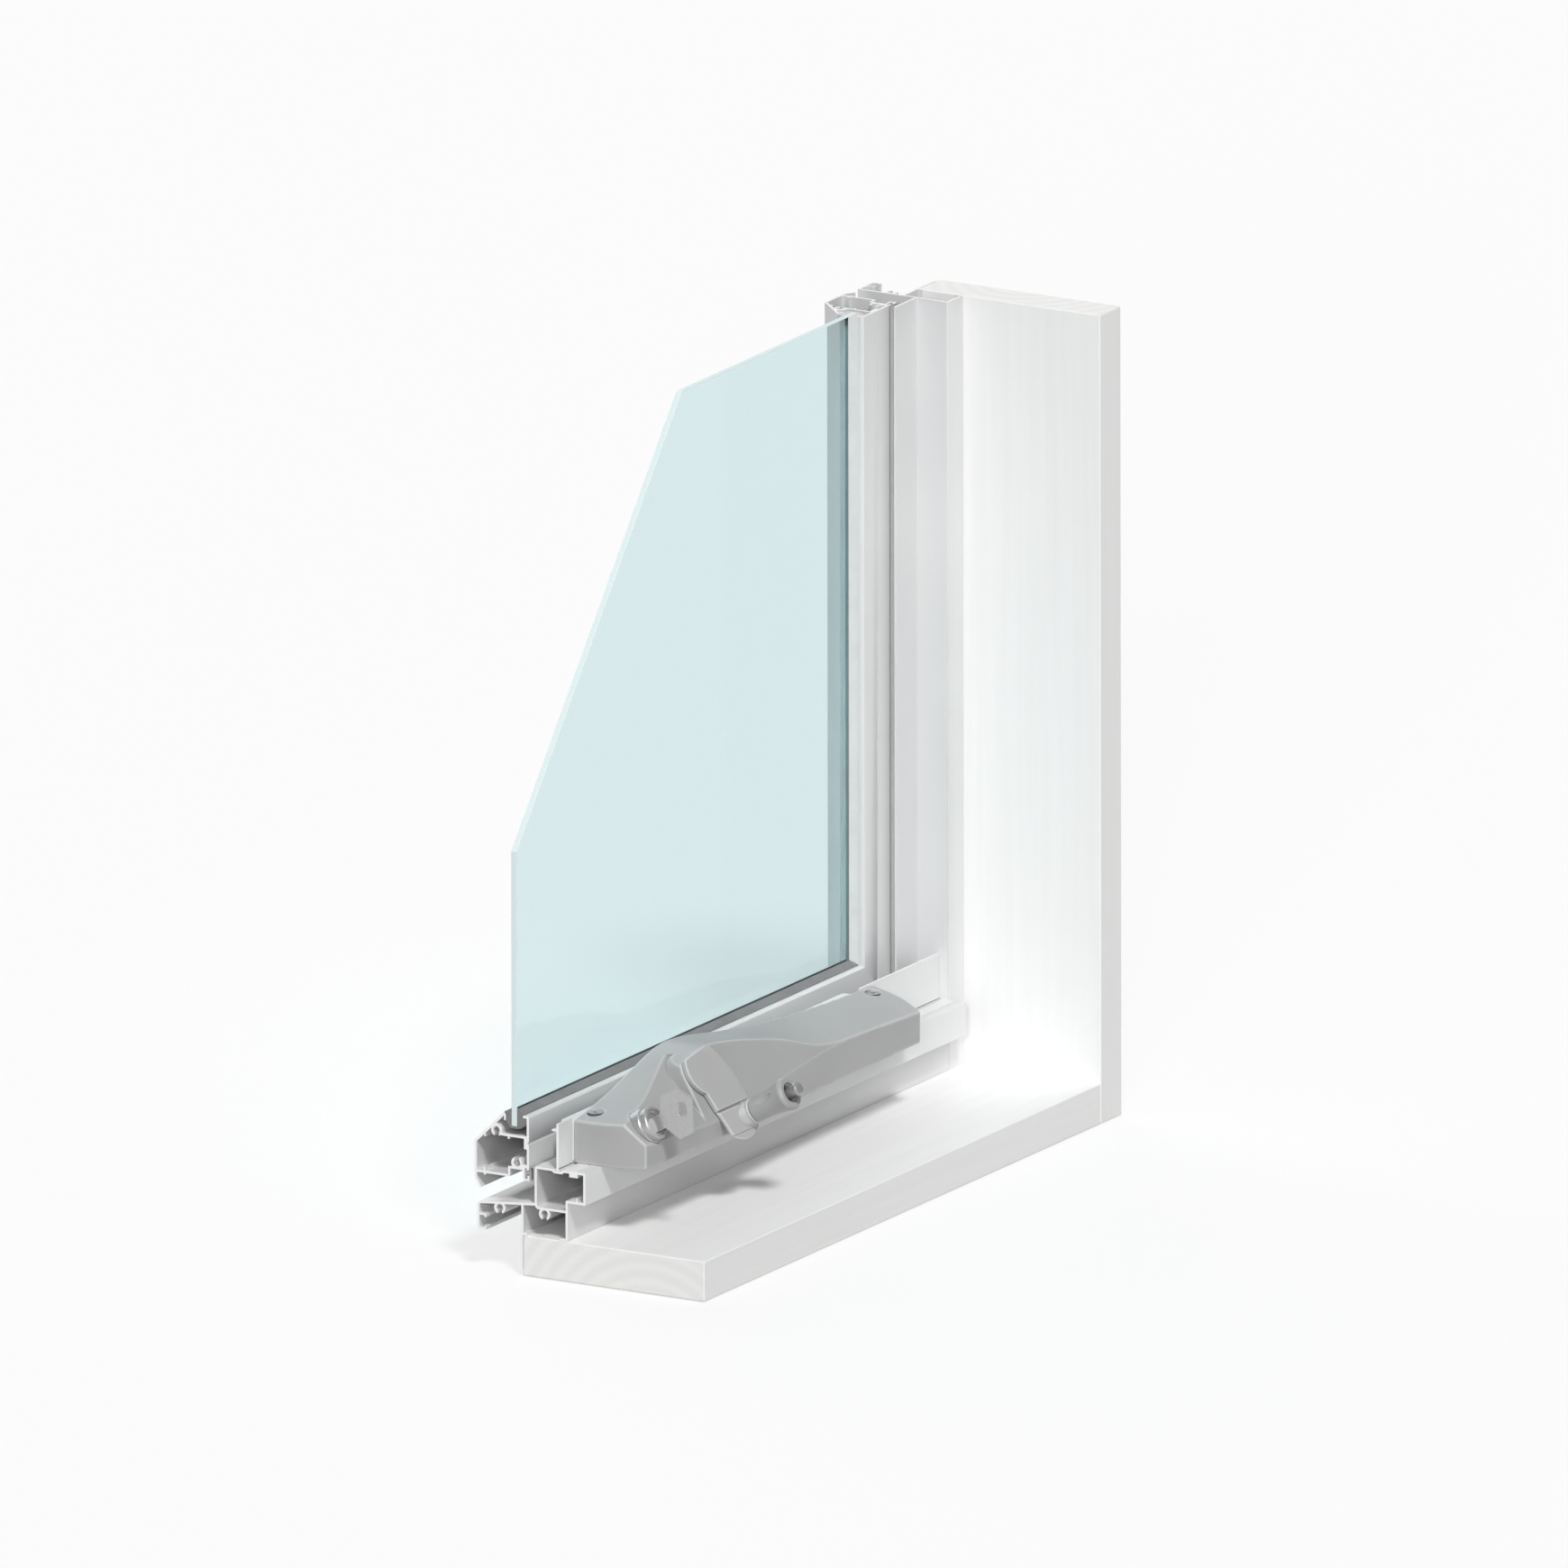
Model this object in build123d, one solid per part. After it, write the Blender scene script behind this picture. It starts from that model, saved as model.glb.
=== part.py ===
"""Corner of an aluminium awning window: sill and jamb frame, mitred sash, glass and chain winder."""
import os
from math import cos, radians, sin

from build123d import *

# Sample size. X runs along the sill towards the jamb, Y runs outwards, Z is up.
LEFT = -200.0
TOP = 400.0
REVEAL_IN = 180.0
REVEAL_T = 20.0
REVEAL_W = 100.0
REVEAL_OUT = 50.0

# Wall thicknesses of the aluminium extrusions.
FRAME_T = 1.2
SASH_T = 1.25
RIB_T = 1.0

# Depths (Y) shared by the sill and the jamb frame.
NOSE_Y = 74.55
LEG_OUT_Y = REVEAL_OUT + 0.3
WEB_Y = 42.93
LEG_IN_Y = 25.9
FRONT_Y = 16.15
FIN_Y = REVEAL_OUT + 0.5
FIN_DROP = 16.8

# Heights above the reveal shared by both frames.
FLOOR_H = 14.5
LIP_H = 35.0
SILL_TOP = LIP_H - FRAME_T / 2
SILL_END = REVEAL_IN - 15.0

# Screw flutes for the corner screws.
FLUTE_R = 1.9
FLUTE_WALL = 1.2
FLUTE_GAP = 2.4

# Glass.
GLASS_IN = 53.25
GLASS_OUT = 56.25
GLASS_EDGE_H = 53.2
GLASS_CUT_Z = 209.0
GLASS_CUT_X = -41.0

# Winder. Both faces of its cover meet the front band and lean back from it.
COVER_BACK = 30.2
COVER_BASE = REVEAL_T + LIP_H
RIGHT_LEAN = 60.0
LEFT_LEAN = 44.3
HUB_X = -111.65
HUB_R = 12.4
HUB_GAP = 0.5
COLLAR_R = 12.5
CRANK_T = 2.5
PAD_T = 1.8
FOOT_H = 2.3
KNOB_H = 5.8
KNOB_BASE_R = 6.3
LOCK_X = -168.5
SCREW_LEFT = (-174.4, 24.8)
SCREW_RIGHT = (91.6, 24.8)
PIN_R = 2.5
RUN_FIT = 0.05
KEY_T = 2.2


def strip(points, t):
    """Wall of even thickness along a centre line, rounded at its bends."""
    shape = Sketch()
    for a, b in zip(points, points[1:]):
        run = Line(a, b)
        shape += Pos(*(run @ 0.5)) * Rot(0, 0, run.tangent_angle_at(0)) * Rectangle(run.length, t)
    for p in points[1:-1]:
        shape += Pos(*p) * Circle(t / 2)
    return shape


def block(y0, y1, z0, z1):
    """Plain rectangle of a section between two depths and two heights."""
    return Pos((y0 + y1) / 2, (z0 + z1) / 2) * Rectangle(y1 - y0, z1 - z0)


def flute(y, z, turn):
    """Screw flute: a ring open on one side."""
    ring = Circle(FLUTE_R + FLUTE_WALL) - Circle(FLUTE_R)
    mouth = Pos(0, -2 * FLUTE_R) * Rectangle(FLUTE_GAP, 4 * FLUTE_R)
    return Pos(y, z) * Rot(0, 0, turn) * (ring - mouth)


def outline(points):
    """Closed straight-sided face."""
    return make_face(Polyline(*points, close=True))


def along_sill(section, x0, x1):
    """Section drawn in (Y, height above the reveal), run along X."""
    face = Plane.YZ * (Pos(0, REVEAL_T) * section)
    return Pos(x0, 0, 0) * extrude(face, amount=x1 - x0, dir=(1, 0, 0))


def up_jamb(section, z0, z1):
    """The same section turned to stand on the jamb reveal, run along Z."""
    stand = Plane(origin=(REVEAL_IN, 0, z0), x_dir=(0, 1, 0), z_dir=(0, 0, 1))
    return extrude(stand * section, amount=z1 - z0, dir=(0, 0, 1))


def mitre(solid, keep):
    """Cut at 45 degrees through the inner corner of the reveals."""
    plane = Plane(origin=(REVEAL_IN, 0, REVEAL_T), x_dir=(0, 1, 0), z_dir=(1, 0, 1))
    return split(solid, bisect_by=plane, keep=keep)


# Timber reveals: the sill board butts against the jamb board.
reveal_y = REVEAL_OUT - REVEAL_W / 2
sill_reveal = Pos((LEFT + REVEAL_IN) / 2, reveal_y, REVEAL_T / 2) * Box(REVEAL_IN - LEFT, REVEAL_W, REVEAL_T)
jamb_reveal = Pos(REVEAL_IN + REVEAL_T / 2, reveal_y, TOP / 2) * Box(REVEAL_T, REVEAL_W, TOP)

# Frame section common to sill and jamb: nose lip, outer leg with its foot and fin, inner leg with its foot.
nose_lip = strip([(70.3, 0.6), (NOSE_Y, 0.6), (NOSE_Y, 12.6)], FRAME_T) + Pos(70.6, 1.4) * Circle(0.5)
nose_hook = strip([(NOSE_Y, 7.5), (70.7, 7.5), (70.7, 6.2)], RIB_T)
outer_leg = strip([(LEG_OUT_Y, FLOOR_H), (LEG_OUT_Y, 0.6), (47.6, 0.6)], FRAME_T)
fin = block(FIN_Y - 0.5, FIN_Y + 0.5, -FIN_DROP, 0.6) + Pos(FIN_Y + 0.5, -0.3) * Circle(0.5)
inner_leg = strip([(LEG_IN_Y, FLOOR_H), (LEG_IN_Y, 0.6), (29.6, 0.6)], FRAME_T)
legs = nose_lip + nose_hook + outer_leg + fin + inner_leg

# Sill: sloping floor, web behind the sash, and a box over the inner leg that carries the winder.
sill_slope = strip([(NOSE_Y, 12.6), (73.3, 13.4), (WEB_Y, 16.1)], FRAME_T)
sill_web = strip([(WEB_Y - 0.7, FLOOR_H), (WEB_Y, 16.1), (WEB_Y, SILL_TOP)], FRAME_T)
groove_z = SILL_TOP - 0.9
sill_top = strip([(WEB_Y, SILL_TOP), (33.6, SILL_TOP), (32.8, groove_z), (28.6, groove_z)], FRAME_T)
sill_top += strip([(28.6, groove_z), (27.9, SILL_TOP), (FRONT_Y, SILL_TOP)], FRAME_T)
sill_top += Pos(28.6, groove_z) * Circle(FRAME_T / 2)
sill_front = strip([(FRONT_Y, SILL_TOP), (FRONT_Y, 19.6), (LEG_IN_Y, 19.6), (LEG_IN_Y, FLOOR_H)], FRAME_T)
sill_front += Pos(FRONT_Y, SILL_TOP) * Rectangle(FRAME_T, FRAME_T)
sill_front += Pos(FRONT_Y, 19.6) * Rectangle(FRAME_T, FRAME_T)
sill_floor = strip([(WEB_Y - 0.7, FLOOR_H), (LEG_IN_Y, FLOOR_H)], FRAME_T)
sill_boss = block(19.8, 24.5, SILL_TOP - 2.4, SILL_TOP) + strip([(20.3, 19.6), (20.3, 22.0)], 0.8)
sill_rise = strip([(LEG_OUT_Y, FLOOR_H), (LEG_OUT_Y, 15.2)], FRAME_T)
sill_flutes = flute(62.8, 11.9, 0) + flute(38.1, 12.0, 0)
drill_line = outline([(22.7, LIP_H + 0.2), (22.2, LIP_H - 0.7), (21.7, LIP_H + 0.2)])
sill_section = legs + sill_slope + sill_web + sill_top + sill_front + sill_floor + sill_boss + sill_rise
sill_section = sill_section + sill_flutes - drill_line
sill_frame = along_sill(sill_section, LEFT, SILL_END)

# Jamb: the same legs on a straight wall, with a lip for the sash seal that stops on top of the sill.
jamb_wall = strip([(NOSE_Y, 12.6), (NOSE_Y, FLOOR_H - 0.1), (LEG_IN_Y, FLOOR_H - 0.1)], FRAME_T)
jamb_lip = strip([(WEB_Y, FLOOR_H), (WEB_Y, LIP_H)], FRAME_T)
jamb_section = legs + jamb_wall + jamb_lip + flute(58.0, 11.6, 0)
sill_notch = Pos(SILL_END - 15, WEB_Y, REVEAL_T + LIP_H / 2) * Box(30, 4, LIP_H)
jamb_frame = up_jamb(jamb_section, REVEAL_T, TOP) - sill_notch

# Sash section: drip leg, outer face, bevel with its glazing hook, glazing channel, seal groove.
sash_top = GLASS_EDGE_H + 5.4
channel_z = GLASS_EDGE_H - 4.8
sash_outer = strip([(73.3, 20.6), (75.95, 25.4), (75.95, sash_top - 15.05), (60.5, sash_top)], SASH_T)
sash_hook = strip([(60.5, sash_top), (59.85, sash_top - 0.2), (59.85, sash_top - 3.0)], RIB_T)
sash_base = strip([(75.95, 28.65), (57.6, 28.65), (57.6, 32.7), (49.45, 32.7)], FRAME_T)
inner_hook = [(47.22, sash_top - 0.7), (47.8, sash_top - 0.1), (50.0, sash_top - 0.1)]
sash_inner = strip([(47.22, 32.3)] + inner_hook, SASH_T)
sash_thick = block(46.6, 49.4, channel_z - 5.8, channel_z - 0.4)
channel_rise = [(61.6, channel_z), (62.6, channel_z + 3.2), (65.0, channel_z + 5.1)]
channel_floor = strip([(47.22, channel_z)] + channel_rise, FRAME_T)
seal_groove = strip([(49.45, 33.4), (49.45, 27.65), (46.9, 27.65), (46.9, 29.8)], 1.1)
groove_roof = block(46.6, 51.0, 33.3, 34.8)
sash_ribs = strip([(71.2, 28.65), (71.2, 31.0)], RIB_T) + Pos(71.0, 27.7) * Circle(0.6)
sash_ribs += strip([(57.8, channel_z), (57.8, channel_z - 1.8)], RIB_T)
sash_ribs += strip([(70.9, sash_top - 10.2), (70.9, sash_top - 12.4)], 0.9)
sash_flutes = flute(64.4, channel_z + 1.8, 0) + flute(53.3, 35.2, 180)
face_line = block(46.5, 47.3, channel_z - 3.4, channel_z - 2.2)
sash_section = sash_outer + sash_hook + sash_base + sash_inner + sash_thick + channel_floor
sash_section = sash_section + seal_groove + groove_roof + sash_ribs + sash_flutes - face_line
sash_rail = mitre(along_sill(sash_section, LEFT, REVEAL_IN), Keep.BOTTOM)
sash_stile = mitre(up_jamb(sash_section, REVEAL_T, TOP), Keep.TOP)

# Glass, cut away on the slant at the upper left.
glass_face = outline([
    (LEFT, REVEAL_T + GLASS_EDGE_H),
    (REVEAL_IN - GLASS_EDGE_H, REVEAL_T + GLASS_EDGE_H),
    (REVEAL_IN - GLASS_EDGE_H, TOP),
    (GLASS_CUT_X, TOP),
    (LEFT, GLASS_CUT_Z),
])
glass_pane = Pos(0, GLASS_IN, 0) * extrude(Plane.XZ * glass_face, amount=GLASS_OUT - GLASS_IN, dir=(0, 1, 0))

# Wrap-around glazing gasket: a channel on the glass edge with a sloping lip on each side.
gasket_z = GLASS_EDGE_H - 1.2
lip_z = sash_top + 3.4
outer_flank = [
    (GLASS_OUT, lip_z), (60.2, lip_z - 2.1), (60.2, lip_z - 2.75), (58.6, lip_z - 2.75), (58.6, lip_z - 3.8),
    (59.3, lip_z - 4.2), (59.3, lip_z - 6.6), (57.2, gasket_z + 0.4), (56.2, gasket_z),
]
inner_flank = [
    (52.8, gasket_z), (51.8, gasket_z + 0.3), (48.0, lip_z - 7.1), (48.0, lip_z - 4.4), (50.2, lip_z - 4.2),
    (50.6, lip_z - 2.8), (49.3, lip_z - 2.8), (49.3, lip_z - 2.5), (GLASS_IN, lip_z),
]
gasket_section = outline(outer_flank + inner_flank) - block(GLASS_IN, GLASS_OUT, GLASS_EDGE_H, lip_z + 1)
rail_gasket = mitre(along_sill(gasket_section, LEFT, REVEAL_IN), Keep.BOTTOM)
stile_gasket = mitre(up_jamb(gasket_section, REVEAL_T, TOP), Keep.TOP)

# Weather seal: a root held in the sash groove and a hollow bulb against the frame.
seal_bulb = Pos(44.95, 30.85) * (RectangleRounded(2.7, 7.5, 0.9) - RectangleRounded(1.2, 6.0, 0.4))
seal_section = block(47.9, 48.88, 28.4, 33.1) + block(46.1, 48.2, 30.2, 31.9) + seal_bulb
rail_seal = mitre(along_sill(seal_section, LEFT, REVEAL_IN), Keep.BOTTOM)
stile_seal = mitre(up_jamb(seal_section, REVEAL_T, TOP), Keep.TOP)

# Upstand clipped into the sill, notched where the winder passes through it.
foot_z = groove_z + FRAME_T / 2 + 0.02
upstand_section = strip([(30.97, foot_z), (30.97, foot_z + 22.9)], SASH_T)
upstand_section += Pos(30.97, foot_z + 22.9) * Circle(SASH_T / 2)
upstand_section += block(29.9, 32.2, foot_z, foot_z + 1.2) + block(31.5, 34.2, foot_z + 19.4, foot_z + 20.3)
winder_notch = Pos(-48.4, 31.5, COVER_BASE + 21.0) * Box(276.2, 6.0, 40.0)
foot_relief = Pos(-42.4, 29.7, COVER_BASE + 10.0) * Box(287.0, 1.2, 30.0)
sill_upstand = along_sill(upstand_section, LEFT, SILL_END) - winder_notch - foot_relief

# Winder body: a long box behind the cover that carries the chain through the notch.
body_plan = Pos(-50.15, 34.1) * RectangleRounded(271.1, 7.8, 2.0)
winder_body = Pos(0, 0, COVER_BASE + 1.0) * extrude(body_plan, amount=19.3)

# Leaning planes of the cover and the axes square to them.
lean = radians(RIGHT_LEAN)
axis = Vector(0, -sin(lean), cos(lean))
hub = Vector(HUB_X, 4.25, COVER_BASE + 31.35)
right_face = Plane(origin=hub, x_dir=(1, 0, 0), z_dir=axis)
lean_left = radians(LEFT_LEAN)
left_normal = (0, -sin(lean_left), cos(lean_left))
left_face = Plane(origin=(0, -7.9, COVER_BASE + 10.3), x_dir=(1, 0, 0), z_dir=left_normal)

# Cover: plan outline with a bowed front and rounded ends, under a top that humps over the crank.
front_left = [(-179.5, -6.2), (-140.0, -7.9), (-100.0, -8.2), (-46.0, -5.4)]
front_edge = Spline(*front_left, (0.0, -3.6), (45.0, -3.0), (89.1, -2.9))
left_end = Spline((-185.4, COVER_BACK), (-185.2, 15.0), (-179.5, -6.2), tangents=[(0, -1), (0.45, -1)])
right_end = Spline((89.1, -2.9), (98.0, 12.0), (100.6, COVER_BACK), tangents=[(0.6, 1), (0, 1)])
back_edge = Line((100.6, COVER_BACK), (-185.4, COVER_BACK))
cover_plan = make_face([front_edge, right_end, back_edge, left_end])
cover_block = Pos(0, 0, COVER_BASE) * extrude(cover_plan, amount=60)

top_stations = [
    (-190, 21.3, 0.0), (-180, 22.2, 0.0), (-165, 25.0, 0.0), (-150, 28.3, 0.0), (-137, 32.0, 0.0),
    (-125, 35.5, 0.0), (-110, 39.2, 0.0), (-98, 40.2, 0.0), (-85, 39.3, 0.0), (-70, 37.2, 0.0),
    (-50, 33.8, 0.02), (-30, 30.8, 0.08), (-10, 28.3, 0.2), (10, 26.4, 0.22), (30, 24.8, 0.2),
    (50, 23.6, 0.19), (70, 22.7, 0.19), (90, 21.9, 0.19), (104, 21.3, 0.19),
]
top_sections = []
for x, back_h, fall in top_stations:
    quad = outline([(40, -5), (40, back_h + fall * 10), (-20, back_h - fall * 50), (-20, -5)])
    station = Plane(origin=(x, 0, COVER_BASE), x_dir=(0, 1, 0), z_dir=(1, 0, 0))
    top_sections.append(station * quad)
cover_top = loft(top_sections)
cover = cover_block & cover_top

# The right face and, left of the crank collar, the deeper left face that carries the lock.
cover -= right_face * Pos(0, 0, 40) * Box(400, 160, 80)
crank_land = Circle(COLLAR_R) + Pos(0, -50) * Rectangle(2 * COLLAR_R, 100)
beside_crank = Pos(-98, 0) * Rectangle(196, 160) - crank_land
collar_side = extrude(right_face.offset(-40) * beside_crank, amount=80, dir=axis)
cover -= (left_face * Pos(0, 0, 40) * Box(600, 160, 80)) & collar_side

# Screw seats near both ends, spindle bore and lock seat.
screw_z = {SCREW_LEFT: COVER_BASE + 23.6, SCREW_RIGHT: COVER_BASE + 20.8}
for (x, y), z in screw_z.items():
    cover -= Pos(x, y, z - 1.5) * Cone(2.2, 5.0, 4.0)
    cover -= Pos(x, y, z - 8) * Cylinder(2.1, 16)
spindle_bore = right_face * Pos(0, 0, -6) * Cylinder(4.0 + RUN_FIT, 14)
lock_at = Vector(LOCK_X, -0.2, COVER_BASE + 17.9)
lock_seat = Plane(origin=lock_at, x_dir=(1, 0, 0), z_dir=axis)
cover -= spindle_bore
cover -= lock_seat * Pos(0, 0, 8) * Cylinder(9.15, 26)
winder_cover = cover

# Cover screws with countersunk heads.
cross = Box(3.4, 0.9, 1.6) + Box(0.9, 3.4, 1.6)
screw_head = Cone(2.1, 3.7, 2.2) - Pos(0, 0, 1.1) * cross
screw = screw_head + Pos(0, 0, -4.6) * Cylinder(2.0, 7.4)
screw_left = Pos(*SCREW_LEFT, screw_z[SCREW_LEFT] - 1.4) * screw
screw_right = Pos(*SCREW_RIGHT, screw_z[SCREW_RIGHT] - 1.4) * screw

# Crank: hub and broad arm, its right border sloped; a pad between two grooves carries the knob's foot.
crank_plane = right_face.offset(HUB_GAP)
right_border = Spline((13.2, 10.4), (18.8, 5.0), (22.5, -2.0), (25.4, -9.0), (26.5, -15.3), (26.9, -21.2))
arm_rest = Polyline((26.9, -21.2), (-3.4, -21.2), (-5.4, -10.4), (-11.6, 3.0), (-6.0, 8.0), (13.2, 10.4))
arm_face = make_face([right_border, arm_rest])
hub_top = outline([(-20.0, 6.2), (20.0, 11.3), (20.0, 20.0), (-20.0, 20.0)])
hub_face = Circle(HUB_R) - hub_top
knob_at = (21.6, -28.15)
pad_face = outline([(-2.2, -22.4), (21.6, -22.4), (21.6, -34.9), (0.8, -34.9)]) + Pos(*knob_at) * Circle(7.0)
sole_face = outline([(-3.2, -20.0), (25.0, -20.0), (25.6, -35.6), (2.0, -35.6)]) + Pos(*knob_at) * Circle(7.0)
lip_arc = ThreePointArc((2.0, -35.4), (12.9, -39.1), (25.4, -35.4))
sole_face += make_face([lip_arc, Line((25.4, -35.4), (2.0, -35.4))])
arm = extrude(crank_plane * arm_face, amount=CRANK_T, dir=axis)
arm_top = arm.faces().sort_by(Axis(hub, axis))[-1]
border_edge = arm_top.edges().filter_by(GeomType.LINE, reverse=True)
arm = chamfer(border_edge, length=4.0, length2=0.8, reference=arm_top)
crank_arm = arm + extrude(crank_plane * hub_face, amount=CRANK_T, dir=axis)
crank_arm += extrude(crank_plane * sole_face, amount=1.0, dir=axis)
crank_arm += extrude(crank_plane * pad_face, amount=PAD_T, dir=axis)
foot_base = crank_plane.offset(PAD_T) * Pos(20.3, -28.3) * Ellipse(8.6, 6.2)
foot_top = crank_plane.offset(PAD_T + FOOT_H) * Pos(*knob_at) * Circle(KNOB_BASE_R)
crank_arm += loft([foot_base, foot_top])
crank_arm += extrude(foot_top, amount=KNOB_H - 0.3 - PAD_T - FOOT_H, dir=axis)
crank_arm -= crank_plane * Pos(*knob_at, 0) * Cylinder(PIN_R, 40)
crank_arm += crank_plane * Pos(0, 0, -5.5) * Cylinder(4.0, 12)

# Knob: a flaring sleeve with a thumb dimple and a hollow end, turning on a pin with a button head.
knob_place = crank_plane.offset(KNOB_H) * Pos(*knob_at, 0)
bore_r = PIN_R + RUN_FIT
knob_side = Spline((6.2, 0.4), (6.25, 5.2), (6.65, 11.0), (7.6, 17.5), (8.24, 20.3))
knob_profile = make_face([
    Polyline((bore_r, 0), (5.8, 0), (6.2, 0.4)),
    knob_side,
    Polyline((8.24, 20.3), (8.0, 21.2), (7.2, 22.2), (5.13, 22.2), (5.13, 16.0), (bore_r, 16.0), (bore_r, 0)),
])
dimple = Rot(0, 0, 153) * Pos(8.3, 0, 9.0) * scale(Sphere(1.0), (2.6, 3.2, 7.2))
crank_knob = knob_place * (revolve(Plane.XZ * knob_profile, axis=Axis.Z) - dimple)
pin_profile = make_face(Polyline(
    (0, -KNOB_H), (PIN_R, -KNOB_H), (PIN_R, 16.1), (3.6, 16.1), (3.6, 17.4), (2.4, 18.2), (2.4, 26.0),
    (3.6, 26.2), (3.6, 27.6), (2.3, 28.3), (0, 28.3), (0, -KNOB_H),
))
knob_pin = knob_place * revolve(Plane.XZ * pin_profile, axis=Axis.Z)

# Lock: a stepped barrel standing out of the left face, a turning plug and its flat key.
barrel_profile = make_face(Polyline(
    (5.2, -4.9), (9.1, -4.9), (9.1, 2.2), (8.6, 2.7), (8.35, 2.7), (8.35, 5.6), (7.8, 6.3), (6.7, 6.3),
    (6.7, 5.2), (5.2, 5.2), (5.2, -4.9),
))
lock_barrel = lock_seat * revolve(Plane.XZ * barrel_profile, axis=Axis.Z)
key_slot = Box(KEY_T, 7.6, 20)
lock_plug = lock_seat * (Cylinder(5.1, 9.0) - Pos(0, -0.85, 6.0) * key_slot)
key_face = outline([
    (-4.6, -3.5), (2.9, -3.5), (2.9, 10.4), (10.7, 14.7), (10.7, 25.2), (3.0, 30.4), (-12.5, 22.4),
    (-12.7, 14.6), (-4.6, 9.9),
])
key_face -= Pos(0.0, 23.2) * Rot(0, 0, 20) * RectangleRounded(6.3, 4.2, 1.2)
key_plane = Plane(origin=lock_at - Vector(KEY_T / 2, 0, 0), x_dir=right_face.y_dir, z_dir=(1, 0, 0))
winder_key = extrude(key_plane * key_face, amount=KEY_T, dir=(1, 0, 0))

pieces = {
    "sill_reveal": sill_reveal,
    "jamb_reveal": jamb_reveal,
    "sill_frame": sill_frame,
    "jamb_frame": jamb_frame,
    "sash_rail": sash_rail,
    "sash_stile": sash_stile,
    "glass_pane": glass_pane,
    "rail_gasket": rail_gasket,
    "stile_gasket": stile_gasket,
    "rail_seal": rail_seal,
    "stile_seal": stile_seal,
    "sill_upstand": sill_upstand,
    "winder_body": winder_body,
    "winder_cover": winder_cover,
    "screw_left": screw_left,
    "screw_right": screw_right,
    "crank_arm": crank_arm,
    "knob_pin": knob_pin,
    "crank_knob": crank_knob,
    "lock_barrel": lock_barrel,
    "lock_plug": lock_plug,
    "winder_key": winder_key,
}
os.makedirs("parts", exist_ok=True)
for name, shape in pieces.items():
    export_step(shape, f"parts/{name}.step")
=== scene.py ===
import math

import bmesh
import bpy
import numpy as np
from mathutils import Matrix, Vector


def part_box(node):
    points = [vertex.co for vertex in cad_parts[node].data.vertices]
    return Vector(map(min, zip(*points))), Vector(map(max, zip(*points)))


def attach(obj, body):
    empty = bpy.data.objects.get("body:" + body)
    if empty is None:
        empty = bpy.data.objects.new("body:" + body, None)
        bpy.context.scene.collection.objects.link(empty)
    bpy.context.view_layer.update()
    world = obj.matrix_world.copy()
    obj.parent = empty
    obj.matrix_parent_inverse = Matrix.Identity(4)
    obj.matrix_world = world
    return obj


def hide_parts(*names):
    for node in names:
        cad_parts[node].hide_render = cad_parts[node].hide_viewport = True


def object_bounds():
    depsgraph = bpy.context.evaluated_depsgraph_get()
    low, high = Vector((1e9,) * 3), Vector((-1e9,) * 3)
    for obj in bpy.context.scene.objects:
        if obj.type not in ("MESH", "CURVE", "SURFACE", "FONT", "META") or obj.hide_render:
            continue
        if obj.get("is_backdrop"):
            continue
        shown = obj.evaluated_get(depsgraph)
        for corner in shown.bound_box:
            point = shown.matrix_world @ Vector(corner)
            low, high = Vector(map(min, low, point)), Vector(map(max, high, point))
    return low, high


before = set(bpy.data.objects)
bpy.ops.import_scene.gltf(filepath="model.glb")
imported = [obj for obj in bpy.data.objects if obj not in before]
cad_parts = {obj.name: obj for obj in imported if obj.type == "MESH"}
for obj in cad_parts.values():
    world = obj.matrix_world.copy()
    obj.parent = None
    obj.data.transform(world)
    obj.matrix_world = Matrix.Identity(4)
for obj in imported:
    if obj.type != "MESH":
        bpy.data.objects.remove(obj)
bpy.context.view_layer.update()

# Reveal boards: two planed pine boards, 100 x 20 mm, coated with white primer.
# The sill board butts against the jamb board; both were sawn to length for the sample,
# so their ends show faint growth rings through a thinner coat.
along_sill, up_jamb = 0, 2
board_edge = 0.0007


def stand_in(mesh, node, body):
    """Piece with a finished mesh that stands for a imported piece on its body."""
    for face in mesh.polygons:
        face.use_smooth = True
    piece = bpy.data.objects.new(node + "_finished", mesh)
    bpy.context.scene.collection.objects.link(piece)
    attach(piece, body)
    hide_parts(node)
    return piece


def merged_mesh(node):
    """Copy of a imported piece's mesh with its triangles joined into whole faces."""
    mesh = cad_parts[node].data.copy()
    mesh.materials.clear()
    work = bmesh.new()
    work.from_mesh(mesh)
    bmesh.ops.remove_doubles(work, verts=work.verts, dist=2e-6)
    bmesh.ops.dissolve_limit(
        work,
        angle_limit=math.radians(0.4),
        verts=work.verts,
        edges=work.edges,
        use_dissolve_boundaries=False,
    )
    work.to_mesh(mesh)
    work.free()
    return mesh


def eased_copy(node, body, width, angle=30.0, steps=2):
    """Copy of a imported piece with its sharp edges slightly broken."""
    piece = stand_in(merged_mesh(node), node, body)
    piece.data.set_sharp_from_angle(angle=math.radians(angle))
    edge = piece.modifiers.new("eased edges", "BEVEL")
    edge.width = width
    edge.segments = steps
    edge.limit_method = "ANGLE"
    edge.angle_limit = math.radians(angle)
    edge.harden_normals = True
    return piece


def feed(node, feeds):
    """Gives a node its inputs, each a fixed value or what another node puts out."""
    for socket, value in feeds.items():
        if isinstance(value, bpy.types.NodeSocket):
            node.id_data.links.new(value, node.inputs[socket])
        else:
            node.inputs[socket].default_value = value


def add_node(tree, kind, feeds, **settings):
    """Adds a node to a tree, with its settings and its inputs."""
    node = tree.nodes.new(kind)
    for key, value in settings.items():
        setattr(node, key, value)
    feed(node, feeds)
    return node


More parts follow.
